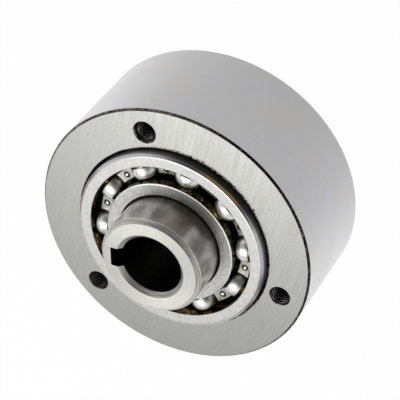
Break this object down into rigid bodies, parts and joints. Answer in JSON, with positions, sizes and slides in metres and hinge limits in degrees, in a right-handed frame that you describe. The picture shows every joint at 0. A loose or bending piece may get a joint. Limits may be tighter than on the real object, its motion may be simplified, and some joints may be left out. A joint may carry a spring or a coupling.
{
  "type": "sprag clutch",
  "caption": "Bearing-supported one-way clutch: a drilled outer ring turns on a keyed through hub and locks to it one way by sprags.",
  "frame": {"origin": "middle of the clutch on the axis of its bore", "axes": "+Z along the bore towards the pictured face, +Y through the first tapped hole"},
  "size_m": [0.068, 0.068, 0.052],
  "materials": {
    "ring_steel": "ground",
    "hub_steel": "turned and ground",
    "race_steel": "fine ground",
    "ball_steel": "polished",
    "cage_steel": "pressed sheet, oiled",
    "rivet_steel": "bright",
    "spring_steel": "tempered",
    "sprag_steel": "hardened and tumbled"
  },
  "bodies": {
    "outer_ring": {"outer_ring": "ring_steel", "front_outer_race": "race_steel", "rear_outer_race": "race_steel"},
    "hub": {"hub": "hub_steel", "front_inner_race": "race_steel", "rear_inner_race": "race_steel"},
    "front_ball_cage": {"front_cage_outboard": "cage_steel", "front_cage_inboard": "cage_steel", "front_cage_rivets": "rivet_steel"},
    "front_ball_01": {"front_ball_01": "ball_steel"},
    "front_ball_02": {"front_ball_02": "ball_steel"},
    "front_ball_03": {"front_ball_03": "ball_steel"},
    "front_ball_04": {"front_ball_04": "ball_steel"},
    "front_ball_05": {"front_ball_05": "ball_steel"},
    "front_ball_06": {"front_ball_06": "ball_steel"},
    "front_ball_07": {"front_ball_07": "ball_steel"},
    "front_ball_08": {"front_ball_08": "ball_steel"},
    "front_ball_09": {"front_ball_09": "ball_steel"},
    "front_ball_10": {"front_ball_10": "ball_steel"},
    "rear_ball_cage": {"rear_cage_outboard": "cage_steel", "rear_cage_inboard": "cage_steel", "rear_cage_rivets": "rivet_steel"},
    "rear_ball_01": {"rear_ball_01": "ball_steel"},
    "rear_ball_02": {"rear_ball_02": "ball_steel"},
    "rear_ball_03": {"rear_ball_03": "ball_steel"},
    "rear_ball_04": {"rear_ball_04": "ball_steel"},
    "rear_ball_05": {"rear_ball_05": "ball_steel"},
    "rear_ball_06": {"rear_ball_06": "ball_steel"},
    "rear_ball_07": {"rear_ball_07": "ball_steel"},
    "rear_ball_08": {"rear_ball_08": "ball_steel"},
    "rear_ball_09": {"rear_ball_09": "ball_steel"},
    "rear_ball_10": {"rear_ball_10": "ball_steel"},
    "sprag_cage": {"sprag_outer_cage": "cage_steel", "sprag_spring": "spring_steel"},
    "sprag_01": {"sprag_01": "sprag_steel"},
    "sprag_02": {"sprag_02": "sprag_steel"},
    "sprag_03": {"sprag_03": "sprag_steel"},
    "sprag_04": {"sprag_04": "sprag_steel"},
    "sprag_05": {"sprag_05": "sprag_steel"},
    "sprag_06": {"sprag_06": "sprag_steel"},
    "sprag_07": {"sprag_07": "sprag_steel"},
    "sprag_08": {"sprag_08": "sprag_steel"},
    "sprag_09": {"sprag_09": "sprag_steel"},
    "sprag_10": {"sprag_10": "sprag_steel"},
    "sprag_11": {"sprag_11": "sprag_steel"},
    "sprag_12": {"sprag_12": "sprag_steel"},
    "sprag_13": {"sprag_13": "sprag_steel"},
    "sprag_14": {"sprag_14": "sprag_steel"},
    "sprag_inner_cage": {"sprag_inner_cage": "cage_steel"}
  },
  "joints": [
    {"name": "hub_spin", "type": "hinge", "parent": "outer_ring", "child": "hub", "pos_m": [0, 0, 0], "axis": [0, 0, 1], "continuous": true},
    {"name": "front_cage_spin", "type": "hinge", "parent": "outer_ring", "child": "front_ball_cage", "pos_m": [0, 0, 0.0121], "axis": [0, 0, 1], "continuous": true},
    {"name": "front_ball_01_spin", "type": "hinge", "parent": "front_ball_cage", "child": "front_ball_01", "pos_m": [0.01582, 0.00859, 0.0121], "axis": [0, 0, 1], "continuous": true},
    {"name": "front_ball_02_spin", "type": "hinge", "parent": "front_ball_cage", "child": "front_ball_02", "pos_m": [0.00775, 0.01625, 0.0121], "axis": [0, 0, 1], "continuous": true},
    {"name": "front_ball_03_spin", "type": "hinge", "parent": "front_ball_cage", "child": "front_ball_03", "pos_m": [-0.00328, 0.0177, 0.0121], "axis": [0, 0, 1], "continuous": true},
    {"name": "front_ball_04_spin", "type": "hinge", "parent": "front_ball_cage", "child": "front_ball_04", "pos_m": [-0.01306, 0.01239, 0.0121], "axis": [0, 0, 1], "continuous": true},
    {"name": "front_ball_05_spin", "type": "hinge", "parent": "front_ball_cage", "child": "front_ball_05", "pos_m": [-0.01785, 0.00235, 0.0121], "axis": [0, 0, 1], "continuous": true},
    {"name": "front_ball_06_spin", "type": "hinge", "parent": "front_ball_cage", "child": "front_ball_06", "pos_m": [-0.01582, -0.00859, 0.0121], "axis": [0, 0, 1], "continuous": true},
    {"name": "front_ball_07_spin", "type": "hinge", "parent": "front_ball_cage", "child": "front_ball_07", "pos_m": [-0.00775, -0.01625, 0.0121], "axis": [0, 0, 1], "continuous": true},
    {"name": "front_ball_08_spin", "type": "hinge", "parent": "front_ball_cage", "child": "front_ball_08", "pos_m": [0.00328, -0.0177, 0.0121], "axis": [0, 0, 1], "continuous": true},
    {"name": "front_ball_09_spin", "type": "hinge", "parent": "front_ball_cage", "child": "front_ball_09", "pos_m": [0.01306, -0.01239, 0.0121], "axis": [0, 0, 1], "continuous": true},
    {"name": "front_ball_10_spin", "type": "hinge", "parent": "front_ball_cage", "child": "front_ball_10", "pos_m": [0.01785, -0.00235, 0.0121], "axis": [0, 0, 1], "continuous": true},
    {"name": "rear_cage_spin", "type": "hinge", "parent": "outer_ring", "child": "rear_ball_cage", "pos_m": [0, 0, -0.0121], "axis": [0, 0, 1], "continuous": true},
    {"name": "rear_ball_01_spin", "type": "hinge", "parent": "rear_ball_cage", "child": "rear_ball_01", "pos_m": [0.0177, 0.00328, -0.0121], "axis": [0, 0, 1], "continuous": true},
    {"name": "rear_ball_02_spin", "type": "hinge", "parent": "rear_ball_cage", "child": "rear_ball_02", "pos_m": [0.01239, 0.01306, -0.0121], "axis": [0, 0, 1], "continuous": true},
    {"name": "rear_ball_03_spin", "type": "hinge", "parent": "rear_ball_cage", "child": "rear_ball_03", "pos_m": [0.00235, 0.01785, -0.0121], "axis": [0, 0, 1], "continuous": true},
    {"name": "rear_ball_04_spin", "type": "hinge", "parent": "rear_ball_cage", "child": "rear_ball_04", "pos_m": [-0.00859, 0.01582, -0.0121], "axis": [0, 0, 1], "continuous": true},
    {"name": "rear_ball_05_spin", "type": "hinge", "parent": "rear_ball_cage", "child": "rear_ball_05", "pos_m": [-0.01625, 0.00775, -0.0121], "axis": [0, 0, 1], "continuous": true},
    {"name": "rear_ball_06_spin", "type": "hinge", "parent": "rear_ball_cage", "child": "rear_ball_06", "pos_m": [-0.0177, -0.00328, -0.0121], "axis": [0, 0, 1], "continuous": true},
    {"name": "rear_ball_07_spin", "type": "hinge", "parent": "rear_ball_cage", "child": "rear_ball_07", "pos_m": [-0.01239, -0.01306, -0.0121], "axis": [0, 0, 1], "continuous": true},
    {"name": "rear_ball_08_spin", "type": "hinge", "parent": "rear_ball_cage", "child": "rear_ball_08", "pos_m": [-0.00235, -0.01785, -0.0121], "axis": [0, 0, 1], "continuous": true},
    {"name": "rear_ball_09_spin", "type": "hinge", "parent": "rear_ball_cage", "child": "rear_ball_09", "pos_m": [0.00859, -0.01582, -0.0121], "axis": [0, 0, 1], "continuous": true},
    {"name": "rear_ball_10_spin", "type": "hinge", "parent": "rear_ball_cage", "child": "rear_ball_10", "pos_m": [0.01625, -0.00775, -0.0121], "axis": [0, 0, 1], "continuous": true},
    {"name": "sprag_cage_creep", "type": "hinge", "parent": "outer_ring", "child": "sprag_cage", "pos_m": [0, 0, 0], "axis": [0, 0, 1], "continuous": true},
    {"name": "sprag_01_tilt", "type": "hinge", "parent": "sprag_cage", "child": "sprag_01", "pos_m": [0, 0.01804, 0], "axis": [0, 0, 1], "range_deg": [0, 5]},
    {"name": "sprag_02_tilt", "type": "hinge", "parent": "sprag_cage", "child": "sprag_02", "pos_m": [-0.00783, 0.01626, 0], "axis": [0, 0, 1], "range_deg": [0, 5]},
    {"name": "sprag_03_tilt", "type": "hinge", "parent": "sprag_cage", "child": "sprag_03", "pos_m": [-0.01411, 0.01125, 0], "axis": [0, 0, 1], "range_deg": [0, 5]},
    {"name": "sprag_04_tilt", "type": "hinge", "parent": "sprag_cage", "child": "sprag_04", "pos_m": [-0.01759, 0.00402, 0], "axis": [0, 0, 1], "range_deg": [0, 5]},
    {"name": "sprag_05_tilt", "type": "hinge", "parent": "sprag_cage", "child": "sprag_05", "pos_m": [-0.01759, -0.00402, 0], "axis": [0, 0, 1], "range_deg": [0, 5]},
    {"name": "sprag_06_tilt", "type": "hinge", "parent": "sprag_cage", "child": "sprag_06", "pos_m": [-0.01411, -0.01125, 0], "axis": [0, 0, 1], "range_deg": [0, 5]},
    {"name": "sprag_07_tilt", "type": "hinge", "parent": "sprag_cage", "child": "sprag_07", "pos_m": [-0.00783, -0.01626, 0], "axis": [0, 0, 1], "range_deg": [0, 5]},
    {"name": "sprag_08_tilt", "type": "hinge", "parent": "sprag_cage", "child": "sprag_08", "pos_m": [0, -0.01804, 0], "axis": [0, 0, 1], "range_deg": [0, 5]},
    {"name": "sprag_09_tilt", "type": "hinge", "parent": "sprag_cage", "child": "sprag_09", "pos_m": [0.00783, -0.01626, 0], "axis": [0, 0, 1], "range_deg": [0, 5]},
    {"name": "sprag_10_tilt", "type": "hinge", "parent": "sprag_cage", "child": "sprag_10", "pos_m": [0.01411, -0.01125, 0], "axis": [0, 0, 1], "range_deg": [0, 5]},
    {"name": "sprag_11_tilt", "type": "hinge", "parent": "sprag_cage", "child": "sprag_11", "pos_m": [0.01759, -0.00402, 0], "axis": [0, 0, 1], "range_deg": [0, 5]},
    {"name": "sprag_12_tilt", "type": "hinge", "parent": "sprag_cage", "child": "sprag_12", "pos_m": [0.01759, 0.00402, 0], "axis": [0, 0, 1], "range_deg": [0, 5]},
    {"name": "sprag_13_tilt", "type": "hinge", "parent": "sprag_cage", "child": "sprag_13", "pos_m": [0.01411, 0.01125, 0], "axis": [0, 0, 1], "range_deg": [0, 5]},
    {"name": "sprag_14_tilt", "type": "hinge", "parent": "sprag_cage", "child": "sprag_14", "pos_m": [0.00783, 0.01626, 0], "axis": [0, 0, 1], "range_deg": [0, 5]},
    {"name": "inner_cage_shift", "type": "hinge", "parent": "sprag_cage", "child": "sprag_inner_cage", "pos_m": [0, 0, 0], "axis": [0, 0, 1], "range_deg": [-0.809, 0]}
  ],
  "couplings": [
    {"joint": "front_cage_spin", "follows": "hub_spin", "ratio": 0.42283},
    {"joint": "front_ball_01_spin", "follows": "hub_spin", "ratio": -3.1625},
    {"joint": "front_ball_02_spin", "follows": "hub_spin", "ratio": -3.1625},
    {"joint": "front_ball_03_spin", "follows": "hub_spin", "ratio": -3.1625},
    {"joint": "front_ball_04_spin", "follows": "hub_spin", "ratio": -3.1625},
    {"joint": "front_ball_05_spin", "follows": "hub_spin", "ratio": -3.1625},
    {"joint": "front_ball_06_spin", "follows": "hub_spin", "ratio": -3.1625},
    {"joint": "front_ball_07_spin", "follows": "hub_spin", "ratio": -3.1625},
    {"joint": "front_ball_08_spin", "follows": "hub_spin", "ratio": -3.1625},
    {"joint": "front_ball_09_spin", "follows": "hub_spin", "ratio": -3.1625},
    {"joint": "front_ball_10_spin", "follows": "hub_spin", "ratio": -3.1625},
    {"joint": "rear_cage_spin", "follows": "hub_spin", "ratio": 0.42283},
    {"joint": "rear_ball_01_spin", "follows": "hub_spin", "ratio": -3.1625},
    {"joint": "rear_ball_02_spin", "follows": "hub_spin", "ratio": -3.1625},
    {"joint": "rear_ball_03_spin", "follows": "hub_spin", "ratio": -3.1625},
    {"joint": "rear_ball_04_spin", "follows": "hub_spin", "ratio": -3.1625},
    {"joint": "rear_ball_05_spin", "follows": "hub_spin", "ratio": -3.1625},
    {"joint": "rear_ball_06_spin", "follows": "hub_spin", "ratio": -3.1625},
    {"joint": "rear_ball_07_spin", "follows": "hub_spin", "ratio": -3.1625},
    {"joint": "rear_ball_08_spin", "follows": "hub_spin", "ratio": -3.1625},
    {"joint": "rear_ball_09_spin", "follows": "hub_spin", "ratio": -3.1625},
    {"joint": "rear_ball_10_spin", "follows": "hub_spin", "ratio": -3.1625},
    {"joint": "sprag_02_tilt", "follows": "sprag_01_tilt", "ratio": 1},
    {"joint": "sprag_03_tilt", "follows": "sprag_01_tilt", "ratio": 1},
    {"joint": "sprag_04_tilt", "follows": "sprag_01_tilt", "ratio": 1},
    {"joint": "sprag_05_tilt", "follows": "sprag_01_tilt", "ratio": 1},
    {"joint": "sprag_06_tilt", "follows": "sprag_01_tilt", "ratio": 1},
    {"joint": "sprag_07_tilt", "follows": "sprag_01_tilt", "ratio": 1},
    {"joint": "sprag_08_tilt", "follows": "sprag_01_tilt", "ratio": 1},
    {"joint": "sprag_09_tilt", "follows": "sprag_01_tilt", "ratio": 1},
    {"joint": "sprag_10_tilt", "follows": "sprag_01_tilt", "ratio": 1},
    {"joint": "sprag_11_tilt", "follows": "sprag_01_tilt", "ratio": 1},
    {"joint": "sprag_12_tilt", "follows": "sprag_01_tilt", "ratio": 1},
    {"joint": "sprag_13_tilt", "follows": "sprag_01_tilt", "ratio": 1},
    {"joint": "sprag_14_tilt", "follows": "sprag_01_tilt", "ratio": 1},
    {"joint": "inner_cage_shift", "follows": "sprag_01_tilt", "ratio": -0.1619}
  ]
}
